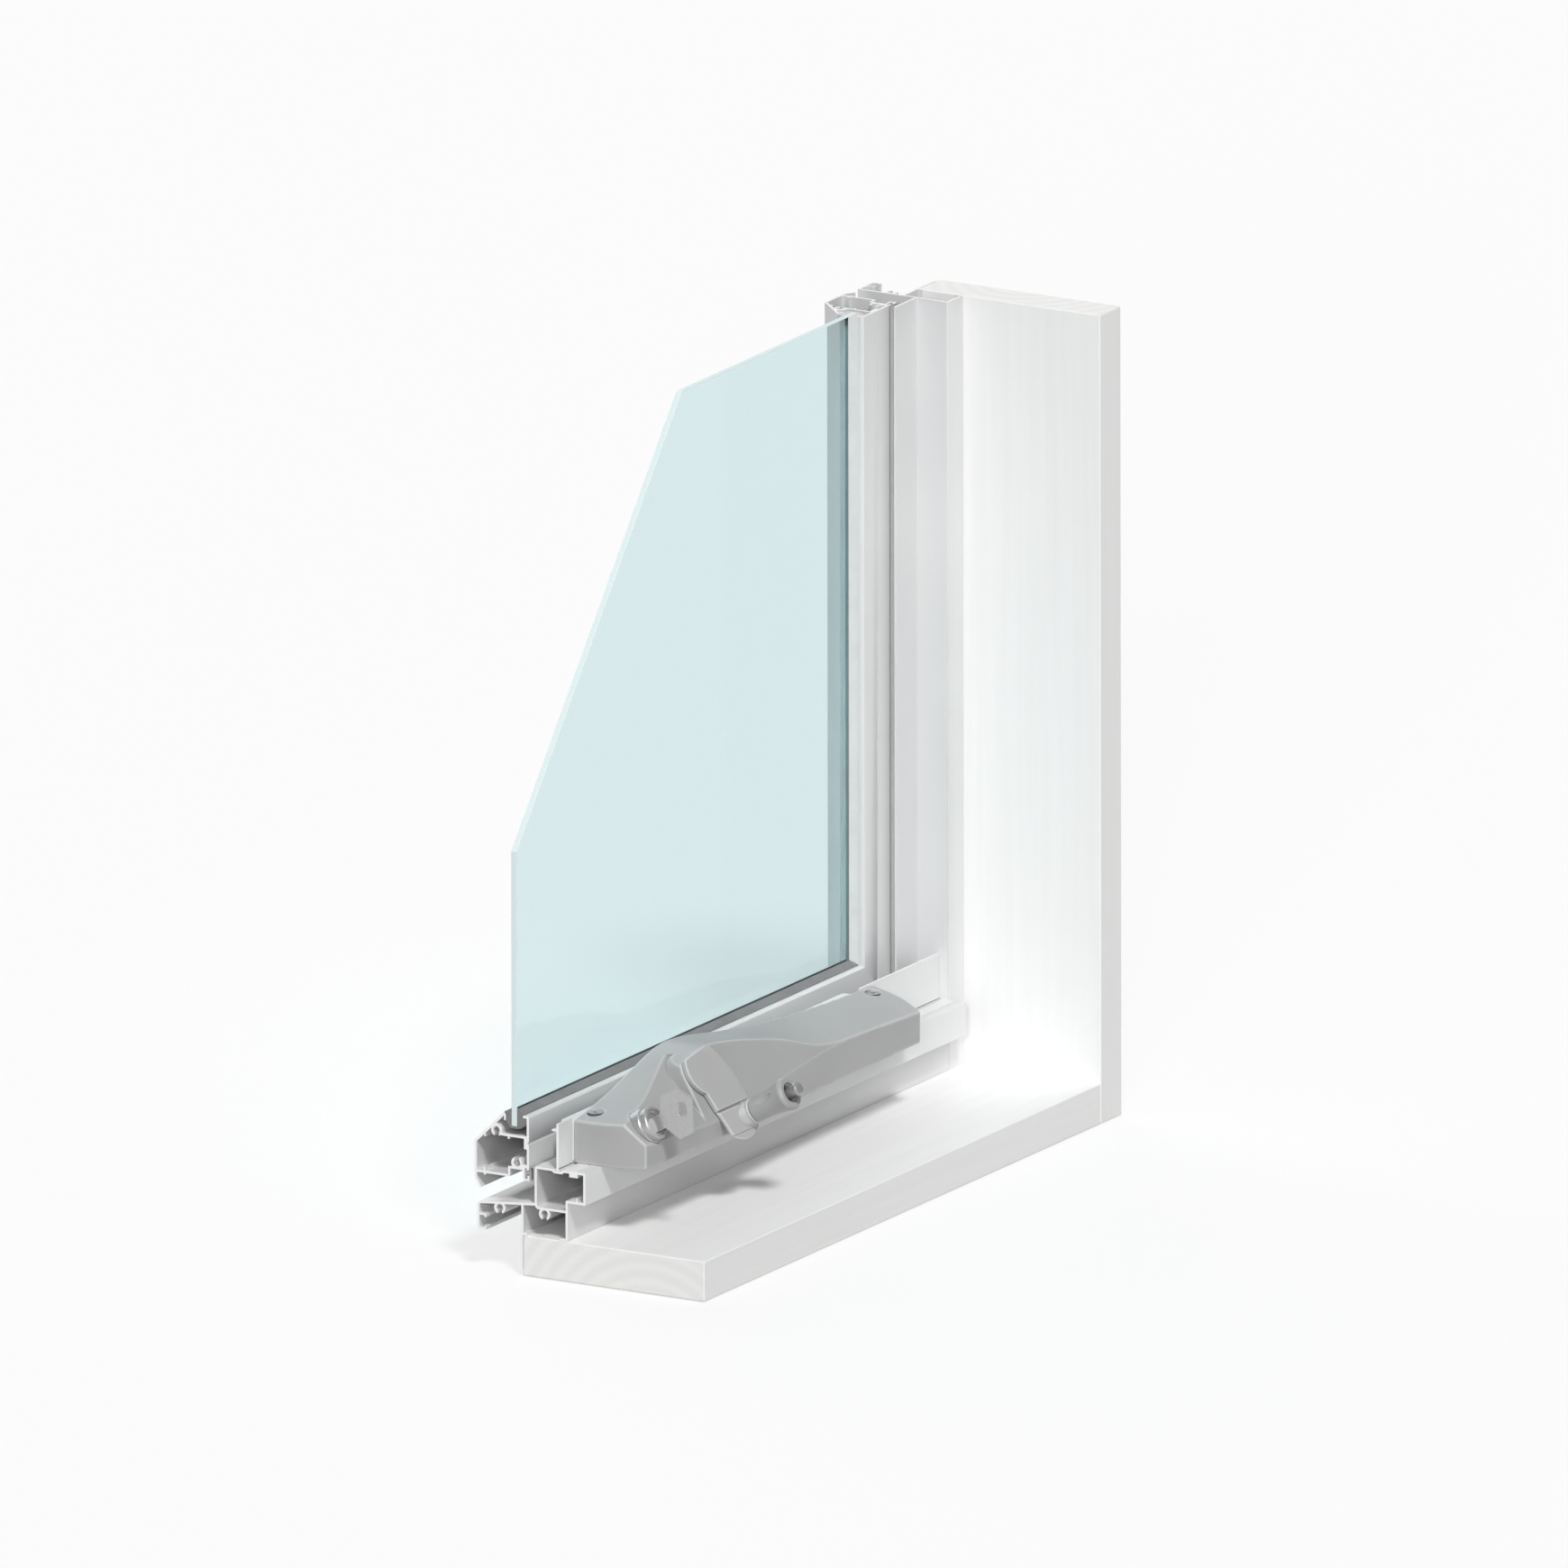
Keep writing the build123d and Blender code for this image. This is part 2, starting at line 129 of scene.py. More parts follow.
def new_finish(name):
    """New node material, with its tree and its main shader."""
    finish = bpy.data.materials.new(name)
    finish.use_nodes = True
    return finish, finish.node_tree, finish.node_tree.nodes["Principled BSDF"]


def object_coords(tree):
    """Coordinates that stay with the piece."""
    return add_node(tree, "ShaderNodeTexCoord", {}).outputs["Object"]


def drawn_out(tree, plain, along, across, lengthwise):
    """Coordinates stretched along a piece, for brush strokes, die lines or extrusion lines."""
    scale = [lengthwise if axis == along else across for axis in range(3)]
    return add_node(tree, "ShaderNodeMapping", {"Vector": plain, "Scale": scale}).outputs["Vector"]


def noise(tree, coords, feeds):
    """Fixed cloudy pattern, from nought to one."""
    return add_node(tree, "ShaderNodeTexNoise", {"Vector": coords, **feeds}).outputs["Fac"]


def wave(tree, coords, feeds, **settings):
    """Banded or ringed pattern, from nought to one."""
    return add_node(tree, "ShaderNodeTexWave", {"Vector": coords, **feeds}, **settings).outputs["Fac"]


def two_tones(tree, value, dark, light, low=0.3, high=0.7):
    """Colour between two tones, by a value that runs from low to high."""
    tone = add_node(tree, "ShaderNodeValToRGB", {"Fac": value})
    for stop, place, colour in zip(tone.color_ramp.elements, (low, high), (dark, light)):
        stop.position = place
        stop.color = (*colour, 1)
    return tone.outputs["Color"]


def mixed_by(tree, factor, first, second, kind="RGBA"):
    """First value where the factor is nought, second where it is one."""
    first_socket, second_socket, result = {"FLOAT": (2, 3, 0), "RGBA": (6, 7, 2)}[kind]
    feeds = {"Factor": factor, first_socket: first, second_socket: second}
    return add_node(tree, "ShaderNodeMix", feeds, data_type=kind).outputs[result]


def worked_out(tree, operation, *terms):
    """Result of one step of arithmetic on sockets or plain numbers."""
    return add_node(tree, "ShaderNodeMath", dict(enumerate(terms)), operation=operation).outputs[0]


def at_sawn_end(tree, plain, along, end_at):
    """One on the sawn end of a length, nought elsewhere."""
    split = add_node(tree, "ShaderNodeSeparateXYZ", {"Vector": plain})
    return worked_out(tree, "LESS_THAN" if end_at < 0 else "GREATER_THAN", split.outputs[along], end_at)


def add_relief(tree, shader, height, strength, distance):
    """Fine relief on a shader, from a pattern."""
    relief = add_node(tree, "ShaderNodeBump", {"Strength": strength, "Distance": distance, "Height": height})
    feed(shader, {"Normal": relief.outputs["Normal"]})


def primed_board(name, along, end_at, heart):
    """White primer over planed timber; along is the grain axis, heart shifts the growth rings."""
    finish, tree, shader = new_finish(name)
    plain = object_coords(tree)
    brushed = drawn_out(tree, plain, along, 230.0, 6.0)
    strokes = noise(tree, brushed, {"Scale": 1.0, "Detail": 6.0, "Roughness": 0.6})
    coat = two_tones(tree, strokes, (0.85, 0.85, 0.842), (0.885, 0.885, 0.88))
    centred = add_node(tree, "ShaderNodeMapping", {"Vector": plain, "Location": heart})
    rings = wave(
        tree,
        centred.outputs["Vector"],
        {"Scale": 42.0, "Distortion": 3.0, "Detail Scale": 30.0},
        wave_type="RINGS",
        rings_direction="XYZ"[along],
    )
    bare = two_tones(tree, rings, (0.825, 0.82, 0.80), (0.875, 0.872, 0.862), 0.0, 1.0)
    sawn = at_sawn_end(tree, plain, along, end_at)
    feed(shader, {"Base Color": mixed_by(tree, sawn, coat, bare), "Roughness": 0.55})
    add_relief(tree, shader, strokes, 0.08, 0.0003)
    return finish


sill_board = eased_copy("sill_reveal", "window", board_edge)
sill_board.data.materials.append(
    primed_board("primed sill board", along_sill, -0.1998, (0.0, 0.021, 0.035))
)
jamb_board = eased_copy("jamb_reveal", "window", board_edge)
jamb_board.data.materials.append(
    primed_board("primed jamb board", up_jamb, 0.3998, (-0.215, -0.01, 0.0))
)

# Frame extrusions: hollow aluminium sections with a satin finish and 1.2 mm walls, and the
# upstand clipped into the sill. The sill is screwed square against the jamb through its flutes;
# the sample saw left the near ends bare, with fine blade marks across the walls.
section_edge = 0.00018
upstand_edge = 0.00025


def vary_gloss(tree, shader, value, low, high):
    """Lets a shader's roughness run between two levels with a pattern."""
    level = add_node(tree, "ShaderNodeMapRange", {"Value": value, "To Min": low, "To Max": high})
    feed(shader, {"Roughness": level.outputs["Result"]})


def satin_extrusion(name, along, end_at):
    """Satin aluminium with faint die lines along the length and a bright sawn end."""
    finish, tree, shader = new_finish(name)
    plain = object_coords(tree)
    drawn = drawn_out(tree, plain, along, 900.0, 2.0)
    lines = noise(tree, drawn, {"Scale": 1.0, "Detail": 5.0, "Roughness": 0.65})
    cloud = noise(tree, plain, {"Scale": 9.0, "Detail": 3.0})
    skin = two_tones(tree, cloud, (0.725, 0.728, 0.732), (0.765, 0.766, 0.768), 0.35, 0.65)
    saw_feeds = {"Scale": 420.0, "Distortion": 1.5}
    saw = wave(tree, plain, saw_feeds, wave_type="BANDS", bands_direction="DIAGONAL")
    bare = two_tones(tree, saw, (0.90, 0.90, 0.902), (0.94, 0.94, 0.94), 0.0, 1.0)
    sawn = at_sawn_end(tree, plain, along, end_at)
    feed(shader, {"Base Color": mixed_by(tree, sawn, skin, bare), "Metallic": 0.2})
    vary_gloss(tree, shader, lines, 0.34, 0.46)
    add_relief(tree, shader, mixed_by(tree, sawn, lines, saw, "FLOAT"), 0.14, 0.0002)
    return finish


extruded_along_sill = satin_extrusion("satin aluminium along the sill", along_sill, -0.19985)
extruded_up_jamb = satin_extrusion("satin aluminium up the jamb", up_jamb, 0.39985)
for node, width, finish in (
    ("sill_frame", section_edge, extruded_along_sill),
    ("jamb_frame", section_edge, extruded_up_jamb),
    ("sill_upstand", upstand_edge, extruded_along_sill),
):
    section = eased_copy(node, "window", width, steps=1)
    section.data.materials.append(finish)

# Sash: the bottom rail and the stile are one hollow section, mitred at the corner and
# held there by corner screws in the flutes. Same satin finish as the frame.
for node, finish in (("sash_rail", extruded_along_sill), ("sash_stile", extruded_up_jamb)):
    section = eased_copy(node, "window", section_edge, steps=1)
    section.data.materials.append(finish)

# Flute serrations: fine ridges extruded inside every screw flute of frame and sash, which a
# corner screw cuts its thread into. They run the whole length, nine round each flute.


def rule_tree(name, sizes):
    """Geometry Nodes tree with an input for each named size and one for the finish."""
    tree = bpy.data.node_groups.new(name, "GeometryNodeTree")
    tree.interface.new_socket("Geometry", in_out="INPUT", socket_type="NodeSocketGeometry")
    for label, kind in sizes.items():
        tree.interface.new_socket(label, in_out="INPUT", socket_type="NodeSocket" + kind)
    tree.interface.new_socket("Finish", in_out="INPUT", socket_type="NodeSocketMaterial")
    tree.interface.new_socket("Geometry", in_out="OUTPUT", socket_type="NodeSocketGeometry")
    return tree, tree.nodes.new("NodeGroupInput").outputs


def close_tree(tree, given, shape):
    """Sets a shape on each given point, turned and stretched as that point says, and realizes it."""
    turn = add_node(tree, "GeometryNodeInputNamedAttribute", {"Name": "turn"}, data_type="FLOAT_VECTOR")
    run = add_node(tree, "GeometryNodeInputNamedAttribute", {"Name": "run"}, data_type="FLOAT")
    stretch = add_node(tree, "ShaderNodeCombineXYZ", {"X": 1.0, "Y": 1.0, "Z": run.outputs["Attribute"]})
    turning = add_node(tree, "FunctionNodeEulerToRotation", {"Euler": turn.outputs["Attribute"]})
    placed = add_node(
        tree,
        "GeometryNodeInstanceOnPoints",
        {
            "Points": given["Geometry"],
            "Instance": shape,
            "Rotation": turning.outputs["Rotation"],
            "Scale": stretch.outputs["Vector"],
        },
    )
    real = add_node(tree, "GeometryNodeRealizeInstances", {"Geometry": placed.outputs["Instances"]})
    dressed = add_node(
        tree, "GeometryNodeSetMaterial", {"Geometry": real.outputs["Geometry"], "Material": given["Finish"]}
    )
    add_node(tree, "NodeGroupOutput", {"Geometry": dressed.outputs["Geometry"]})


def settled_mesh(piece):
    """Plain mesh of a piece with its modifiers worked in."""
    graph = bpy.context.evaluated_depsgraph_get()
    return bpy.data.meshes.new_from_object(piece.evaluated_get(graph), depsgraph=graph)


def made_by_rule(name, tree, places, values, body):
    """Plain mesh that a tree makes at some places, each a point, a turn and a length to run."""
    start = bpy.data.meshes.new(name)
    start.from_pydata([point for point, _, _ in places], [], [])
    start.attributes.new("turn", "FLOAT_VECTOR", "POINT")
    start.attributes.new("run", "FLOAT", "POINT")
    for index, (_, axes, length) in enumerate(places):
        start.attributes["turn"].data[index].vector = axes.to_euler()
        start.attributes["run"].data[index].value = length
    piece = bpy.data.objects.new(name, start)
    bpy.context.scene.collection.objects.link(piece)
    rule = piece.modifiers.new("rule", "NODES")
    rule.node_group = tree
    for socket in tree.interface.items_tree:
        if socket.in_out == "INPUT" and socket.name in values:
            rule[socket.identifier] = values[socket.name]
    mesh = settled_mesh(piece)
    piece.modifiers.remove(rule)
    piece.data = mesh
    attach(piece, body)
    return piece


ridges_round_axis, given = rule_tree(
    "ridges round an axis",
    {
        "Ridges": "Int",
        "Ring radius": "Float",
        "Ridge size": "Float",
        "First angle": "Float",
        "Angle step": "Float",
    },
)
row = add_node(ridges_round_axis, "GeometryNodeMeshLine", {"Count": given["Ridges"]})
number = add_node(ridges_round_axis, "GeometryNodeInputIndex", {}).outputs["Index"]
angle = worked_out(ridges_round_axis, "MULTIPLY_ADD", number, given["Angle step"], given["First angle"])
spot = add_node(ridges_round_axis, "ShaderNodeCombineXYZ", {})
for operation, side in (("COSINE", "X"), ("SINE", "Y")):
    share = worked_out(ridges_round_axis, operation, angle)
    feed(spot, {side: worked_out(ridges_round_axis, "MULTIPLY", share, given["Ring radius"])})
ring = add_node(
    ridges_round_axis,
    "GeometryNodeSetPosition",
    {"Geometry": row.outputs["Mesh"], "Position": spot.outputs["Vector"]},
)
ridge = add_node(
    ridges_round_axis, "GeometryNodeMeshCylinder", {"Vertices": 3, "Depth": 1.0, "Radius": given["Ridge size"]}
)
inward = worked_out(ridges_round_axis, "ADD", angle, math.pi)
facing = add_node(ridges_round_axis, "ShaderNodeCombineXYZ", {"Z": inward})
facing_in = add_node(ridges_round_axis, "FunctionNodeEulerToRotation", {"Euler": facing.outputs["Vector"]})
round_axis = add_node(
    ridges_round_axis,
    "GeometryNodeInstanceOnPoints",
    {
        "Points": ring.outputs["Geometry"],
        "Instance": ridge.outputs["Mesh"],
        "Rotation": facing_in.outputs["Rotation"],
    },
)
close_tree(ridges_round_axis, given, round_axis.outputs["Instances"])

section_along_sill = Matrix(((0, 0, 1), (1, 0, 0), (0, 1, 0)))
section_up_jamb = Matrix(((0, -1, 0), (1, 0, 0), (0, 0, 1)))
half_turn = Matrix.Rotation(math.pi, 3, "Z")
sill_z, jamb_x, near_end, top_end = 0.020, 0.180, -0.1998, 0.3998


def along_x(y, height, far_end, turned=None):
    """Place for a run along the sill, given by depth and height above the reveal."""
    axes = section_along_sill @ turned if turned else section_along_sill
    return (Vector(((near_end + far_end) / 2, y, sill_z + height)), axes, far_end - near_end)


def along_z(y, height, low_end, turned=None):
    """Place for a run up the jamb, given by depth and height above the reveal."""
    axes = section_up_jamb @ turned if turned else section_up_jamb
    return (Vector((jamb_x - height, y, (low_end + top_end) / 2)), axes, top_end - low_end)


ridge_count = 9
flute_ridges = {
    "Ridges": ridge_count,
    "Ring radius": 0.00178,
    "Ridge size": 0.00042,
    "First angle": math.radians(-39.0),
    "Angle step": math.radians(258.0 / (ridge_count - 1)),
}
sill_flutes = [
    along_x(0.0628, 0.0119, 0.1648),
    along_x(0.0381, 0.0120, 0.1648),
    along_x(0.0644, 0.0502, 0.1260),
    along_x(0.0533, 0.0352, 0.1410, half_turn),
]
jamb_flutes = [
    along_z(0.0580, 0.0116, 0.0202),
    along_z(0.0644, 0.0502, 0.0740),
    along_z(0.0533, 0.0352, 0.0590, half_turn),
]
for name, flutes, finish in (
    ("sill_flute_ridges", sill_flutes, extruded_along_sill),
    ("jamb_flute_ridges", jamb_flutes, extruded_up_jamb),
):
    flute_ridges["Finish"] = finish
    made_by_rule(name, ridges_round_axis, flutes, flute_ridges, "window")

# Weather seals: hollow bulb seals of grey rubber, pushed by their root into the groove
# of the sash so that the bulb presses on the frame's web.
rubber_edge = 0.0002


def soft_rubber(name, dark, light, along):
    """Matt rubber with a talc-like bloom and drawn-out extrusion lines."""
    finish, tree, shader = new_finish(name)
    plain = object_coords(tree)
    lines = noise(tree, drawn_out(tree, plain, along, 700.0, 12.0), {"Scale": 1.0, "Detail": 4.0})
    bloom = noise(tree, plain, {"Scale": 60.0, "Detail": 6.0, "Roughness": 0.7})
    feed(shader, {"Base Color": two_tones(tree, bloom, dark, light, 0.35, 0.75), "Roughness": 0.68})
    add_relief(tree, shader, lines, 0.25, 0.0002)
    return finish


for node, along in (("rail_seal", along_sill), ("stile_seal", up_jamb)):
    seal = eased_copy(node, "window", rubber_edge, steps=1)
    seal.data.materials.append(
        soft_rubber(node + " rubber", (0.36, 0.36, 0.363), (0.43, 0.43, 0.43), along)
    )

# Glazing gaskets: wrap-around rubber channels on the glass edge, mitred like the sash, dark
# grey along the rail and pale up the stile. Rows of barbs on both flanks grip the sash.
barb_tree, given = rule_tree(
    "row of barbs", {"Barbs": "Int", "Barb spacing": "Float", "Barb size": "Float"}
)
step = add_node(barb_tree, "ShaderNodeCombineXYZ", {"Y": given["Barb spacing"]})
row = add_node(
    barb_tree, "GeometryNodeMeshLine", {"Count": given["Barbs"], "Offset": step.outputs["Vector"]}
)
barb = add_node(
    barb_tree, "GeometryNodeMeshCylinder", {"Vertices": 3, "Depth": 1.0, "Radius": given["Barb size"]}
)
flank = add_node(
    barb_tree,
    "GeometryNodeInstanceOnPoints",
    {"Points": row.outputs["Mesh"], "Instance": barb.outputs["Mesh"]},
)
close_tree(barb_tree, given, flank.outputs["Instances"])


def flank_slope(upward, outward):
    """Turn that lays a row of barbs along a gasket's flank, which rises and runs out in these parts."""
    return Matrix.Rotation(math.atan2(upward, outward) - math.pi / 2, 3, "Z")


outer_slope, inner_slope = flank_slope(-3.0, -2.1), flank_slope(2.6, -3.8)
barb_sizes = {"Barbs": 5, "Barb spacing": 0.00075, "Barb size": 0.00048}
flanks = ((0.0592, 0.0552, outer_slope), (0.0512, 0.0526, inner_slope))
rail_mitre, stile_mitre = 0.1228, 0.0772
for side, along, place, mitre, dark, light in (
    ("rail", along_sill, along_x, rail_mitre, (0.185, 0.188, 0.19), (0.235, 0.236, 0.236)),
    ("stile", up_jamb, along_z, stile_mitre, (0.60, 0.60, 0.605), (0.68, 0.68, 0.68)),
):
    gasket = eased_copy(side + "_gasket", "window", rubber_edge, steps=1)
    barb_sizes["Finish"] = soft_rubber(side + " gasket rubber", dark, light, along)
    gasket.data.materials.append(barb_sizes["Finish"])
    rows = [place(depth, height, mitre, slope) for depth, height, slope in flanks]
    made_by_rule(side + "_gasket_barbs", barb_tree, rows, barb_sizes, "window")

# Glass: one 3 mm float pane in the gasket channels. The sample pane is cut on the slant
# at its upper left; its ground edges are paler and duller than its faces.


def mixed_shaders(tree, share, first, second):
    """First shader where the share is nought, second where it is one."""
    return add_node(tree, "ShaderNodeMixShader", {0: share, 1: first, 2: second}).outputs["Shader"]


glass = eased_copy("glass_pane", "window", 0.0003)
glass_tint = (0.70, 0.835, 0.85, 1)
clear_float, tree, shader = new_finish("clear float glass")
feed(shader, {"Base Color": glass_tint, "Roughness": 0.02, "IOR": 1.22, "Transmission Weight": 1.0})
through = add_node(tree, "ShaderNodeBsdfTransparent", {"Color": glass_tint})
shadow_ray = add_node(tree, "ShaderNodeLightPath", {}).outputs["Is Shadow Ray"]
lit_through = mixed_shaders(tree, shadow_ray, shader.outputs["BSDF"], through.outputs["BSDF"])
feed(tree.nodes["Material Output"], {"Surface": lit_through})
ground_edge, tree, shader = new_finish("ground glass edge")
frost = noise(tree, object_coords(tree), {"Scale": 1500.0, "Detail": 3.0})
frosted = two_tones(tree, frost, (0.68, 0.79, 0.80), (0.76, 0.86, 0.87))
feed(shader, {"Base Color": frosted, "Roughness": 0.45})
add_relief(tree, shader, frost, 0.15, 0.0001)
glass.data.materials.append(clear_float)
glass.data.materials.append(ground_edge)
for face in glass.data.polygons:
    face.material_index = 0 if abs(face.normal.y) > 0.9 else 1
glass.modifiers["eased edges"].material = 1

# Winder: a chain winder screwed to the sill, with a cast body behind the upstand and a
# sculpted zinc cover over its gears. Both have a satin coat with a fine orange-peel, pale on
# the body and grey on the cover.


def coated_casting(name, dark, light, gloss_low=0.34, gloss_high=0.46):
    """Satin coating with a fine even texture, paler on outer edges (partly wear, partly a painted highlight)
    and darker in inner corners (painted shade).
    """
    # Each has the bend where it starts, the bend where it is full, and its tone against the coat.
    # Paler outer edges: partly rubbed wear, partly a painted highlight that makes the edges stand out.
    edge_wear_and_highlight = (0.007, 0.06, 1.26)
    # Darker inner corners: painted shade, standing in for the shade that falls in the corners.
    corner_painted_shade = (-0.01, -0.09, 0.62)
    finish, tree, shader = new_finish(name)
    plain = object_coords(tree)
    colour = two_tones(tree, noise(tree, plain, {"Scale": 22.0, "Detail": 4.0}), dark, light)
    bend = add_node(tree, "ShaderNodeAttribute", {}, attribute_name="bend").outputs["Fac"]
    for bend_from, bend_to, tone in (edge_wear_and_highlight, corner_painted_shade):
        reach = add_node(
            tree, "ShaderNodeMapRange", {"Value": bend, "From Min": bend_from, "From Max": bend_to}
        )
        # Tone painted on: paler on outer edges (wear and painted highlight), darker in inner corners (painted
        # shade).
        worn_or_painted_tone = (*(tone * value for value in light), 1)
        colour = mixed_by(tree, reach.outputs["Result"], colour, worn_or_painted_tone)
    feed(shader, {"Base Color": colour})
    peel = noise(tree, plain, {"Scale": 1400.0, "Detail": 2.0})
    vary_gloss(tree, shader, peel, gloss_low, gloss_high)
    add_relief(tree, shader, peel, 0.1, 0.0001)
    return finish


def mark_bends(mesh, grid):
    """Stores how far the surface bends at each point: above nought on outer edges, below in inner corners."""
    spots = np.empty(len(mesh.vertices) * 3)
    facing = np.empty(len(mesh.vertices) * 3)
    ends = np.empty(len(mesh.edges) * 2, dtype=int)
    mesh.vertices.foreach_get("co", spots)
    mesh.vertex_normals.foreach_get("vector", facing)
    mesh.edges.foreach_get("vertices", ends)
    spots, facing, ends = spots.reshape(-1, 3), facing.reshape(-1, 3), ends.reshape(-1, 2)
    near = np.bincount(ends.ravel(), minlength=len(spots)).astype(float)

    def around(values):
        total = np.zeros(len(spots))
        np.add.at(total, ends[:, 0], values[ends[:, 1]])
        np.add.at(total, ends[:, 1], values[ends[:, 0]])
        return total / near

    middle = np.stack([around(spots[:, axis]) for axis in range(3)], 1)
    bend = ((spots - middle) * facing).sum(1) / grid
    for _ in range(2):
        bend = (bend + around(bend)) / 2
    mesh.attributes.new("bend", "FLOAT", "POINT").data.foreach_set("value", bend)


def cast_copy(node, body, grid, passes, kept):
    """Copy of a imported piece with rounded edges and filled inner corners, as a casting leaves its mould."""
    rough = bpy.data.objects.new(node + "_rough", merged_mesh(node))
    bpy.context.scene.collection.objects.link(rough)
    even = rough.modifiers.new("even grid", "REMESH")
    even.mode = "VOXEL"
    even.voxel_size = grid
    soften = rough.modifiers.new("rounded edges", "SMOOTH")
    soften.factor = 0.5
    soften.iterations = passes
    fine = settled_mesh(rough)
    mark_bends(fine, grid)
    rough.modifiers.clear()
    rough.data = fine
    thin = rough.modifiers.new("fewer faces", "DECIMATE")
    thin.ratio = kept
    mesh = settled_mesh(rough)
    bpy.data.objects.remove(rough)
    return stand_in(mesh, node, body)


winder_box = eased_copy("winder_body", "window", 0.0006)
winder_box.data.materials.append(coated_casting("pale body coat", (0.66, 0.66, 0.66), (0.73, 0.73, 0.73)))
cover = cast_copy("winder_cover", "window", grid=0.0005, passes=9, kept=0.4)
cover.data.materials.append(
    coated_casting("grey cover coat", (0.375, 0.376, 0.378), (0.405, 0.405, 0.406))
)

# Crank: a cast arm with a pad and a finger lip at its foot, in the same grey coat, a shade
# lighter where hands polish it, and a turned knob of harder grey plastic that spins on a
# riveted pin. Small teeth stand round the knob's hollow end.
crank = cast_copy("crank_arm", "crank", grid=0.0003, passes=4, kept=0.5)
crank.data.materials.append(
    coated_casting("handled crank coat", (0.43, 0.43, 0.432), (0.465, 0.465, 0.466))
)
knob = eased_copy("crank_knob", "knob", 0.0003, angle=25.0)
knob_plastic = coated_casting("knob plastic", (0.355, 0.356, 0.358), (0.385, 0.385, 0.386), 0.3, 0.38)
knob.data.materials.append(knob_plastic)
lean = math.radians(60.0)
lean_axes = Matrix.Rotation(lean, 3, "X")
knob_foot = Vector((-0.09005, -0.009825, 0.061971))
teeth_height, teeth_length, teeth_count = 0.0252, 0.005, 20
knob_teeth = {
    "Ridges": teeth_count,
    "Ring radius": 0.0049,
    "Ridge size": 0.0006,
    "First angle": 0.0,
    "Angle step": math.radians(360.0 / teeth_count),
    "Finish": knob_plastic,
}
teeth_place = (knob_foot + lean_axes.col[2] * teeth_height, lean_axes, teeth_length)
made_by_rule("knob_end_teeth", ridges_round_axis, [teeth_place], knob_teeth, "knob")

# Lock, key and knob pin: turned and stamped pieces, nickel plated to a dull shine. The key
# stays in the plug, which turns in the barrel; the pin is riveted into the crank's foot.


def dull_plating(name, dark, light, metal, gloss_low, gloss_high):
    """Worn nickel plating: tone and gloss vary with fine scuffs."""
    finish, tree, shader = new_finish(name)
    scuffs = noise(tree, object_coords(tree), {"Scale": 700.0, "Detail": 4.0, "Roughness": 0.65})
    feed(shader, {"Base Color": two_tones(tree, scuffs, dark, light), "Metallic": metal})
    vary_gloss(tree, shader, scuffs, gloss_low, gloss_high)
    return finish


barrel_plating = dull_plating("barrel plating", (0.44, 0.44, 0.445), (0.5, 0.5, 0.5), 0.5, 0.3, 0.42)
key_plating = dull_plating("key plating", (0.46, 0.46, 0.465), (0.53, 0.53, 0.53), 0.6, 0.28, 0.4)
pin_steel = dull_plating("pin steel", (0.40, 0.40, 0.405), (0.46, 0.46, 0.46), 0.6, 0.3, 0.42)
for node, body, slot, width, finish in (
    ("lock_barrel", "window", "winder_grey", 0.0003, barrel_plating),
    ("lock_plug", "key", "bright_steel", 0.0002, pin_steel),
    ("winder_key", "key", "winder_grey", 0.0003, key_plating),
    ("knob_pin", "crank", "bright_steel", 0.0003, pin_steel),
):
    piece = eased_copy(node, body, width, angle=25.0)
    piece.data.materials.append(finish)

# Cover screws: two plated steel screws with countersunk heads and a cross recess that
# tapers, driven through the dished seats near both ends of the cover.
screw_sizes = {
    "Head radius": 0.0037,
    "Head depth": 0.0022,
    "Shank radius": 0.002,
    "Shank length": 0.0072,
    "Recess reach": 0.0016,
    "Recess waist": 0.00048,
    "Recess depth": 0.0014,
}
recess_taper, recess_clearance = 1.35, 0.0001
screw_tree, given = rule_tree("countersunk screws", dict.fromkeys(screw_sizes, "Float"))


def joined(tree, *parts):
    """Several shapes as one."""
    whole = add_node(tree, "GeometryNodeJoinGeometry", {})
    for part in parts:
        feed(whole, {"Geometry": part})
    return whole.outputs["Geometry"]


def lifted(tree, shape, height):
    """A shape moved up its own axis."""
    rise = add_node(tree, "ShaderNodeCombineXYZ", {"Z": height})
    moved = add_node(
        tree, "GeometryNodeTransform", {"Geometry": shape, "Translation": rise.outputs["Vector"]}
    )
    return moved.outputs["Geometry"]


head = add_node(
    screw_tree,
    "GeometryNodeMeshCone",
    {
        "Vertices": 48,
        "Radius Top": given["Head radius"],
        "Radius Bottom": given["Shank radius"],
        "Depth": given["Head depth"],
    },
)
cross = add_node(
    screw_tree,
    "GeometryNodeCurveStar",
    {"Points": 4, "Outer Radius": given["Recess reach"], "Inner Radius": given["Recess waist"]},
)
cross_face = add_node(screw_tree, "GeometryNodeFillCurve", {"Curve": cross.outputs["Curve"]})
cross_walls = add_node(
    screw_tree,
    "GeometryNodeExtrudeMesh",
    {"Mesh": cross_face.outputs["Mesh"], "Offset Scale": given["Recess depth"], "Individual": False},
)
cross_taper = add_node(
    screw_tree,
    "GeometryNodeScaleElements",
    {
        "Geometry": cross_walls.outputs["Mesh"],
        "Selection": cross_walls.outputs["Top"],
        "Scale": recess_taper,
    },
)
cross_floor = add_node(screw_tree, "GeometryNodeFlipFaces", {"Mesh": cross_face.outputs["Mesh"]})
cross_shell = joined(screw_tree, cross_taper.outputs["Geometry"], cross_floor.outputs["Mesh"])
